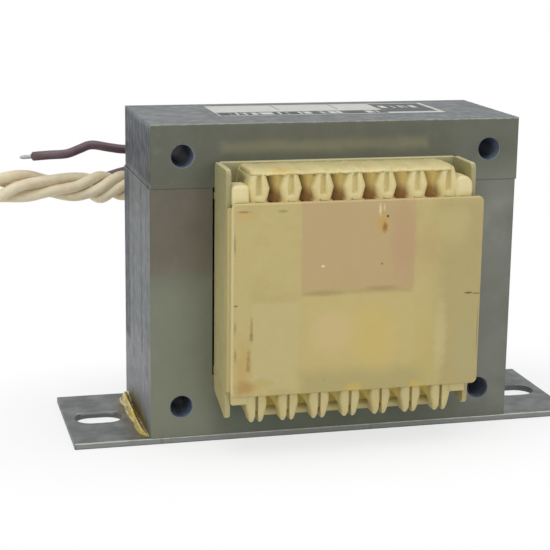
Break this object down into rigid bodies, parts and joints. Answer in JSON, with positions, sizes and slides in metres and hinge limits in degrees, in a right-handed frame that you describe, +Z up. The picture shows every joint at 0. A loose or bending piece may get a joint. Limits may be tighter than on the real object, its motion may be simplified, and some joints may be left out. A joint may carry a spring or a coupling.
{
  "type": "laminated mains transformer",
  "caption": "Small mains transformer with an E and I laminated core, moulded coil former with forked terminal posts, translucent covers, slotted foot plate and flying leads.",
  "frame": {"origin": "middle of the underside of the foot plate, midway between the two foot slots", "axes": "+X along the foot plate to the right as seen from the front, +Y to the rear where the leads come out, +Z up"},
  "size_m": [0.1364, 0.0534, 0.051],
  "materials": {
    "core_steel": "oxidised lamination steel, dull, with a thin varnish",
    "plate_steel": "plain rolled sheet, dull",
    "resin": "cured amber resin, glossy and lumpy",
    "former_plastic": "moulded cream thermoplastic",
    "coil_wrap": "enamelled wire under red-brown tape",
    "cover_plastic": "thin translucent cream plastic, satin",
    "dark_insulation": "purple-brown wire insulation, satin",
    "pale_insulation": "cream wire insulation",
    "tinned_wire": "tinned copper strands"
  },
  "bodies": {
    "root": {"e_stack": "core_steel", "i_stack": "core_steel", "foot_plate": "plate_steel", "left_resin_bead": "resin", "right_resin_bead": "resin", "coil_former": "former_plastic", "coil": "coil_wrap", "front_upper_comb": "former_plastic", "front_lower_comb": "former_plastic", "rear_upper_comb": "former_plastic", "rear_lower_comb": "former_plastic", "front_shroud": "cover_plastic", "rear_shroud": "cover_plastic", "front_cover": "cover_plastic", "rear_cover": "cover_plastic", "upper_dark_lead": "dark_insulation", "lower_dark_lead": "dark_insulation", "pale_lead_1": "pale_insulation", "pale_lead_2": "pale_insulation", "pale_lead_3": "pale_insulation", "pale_lead_4": "pale_insulation", "pale_bundle": "pale_insulation", "upper_dark_tip": "tinned_wire", "lower_dark_tip": "tinned_wire", "pale_tips": "tinned_wire"}
  },
  "joints": []
}
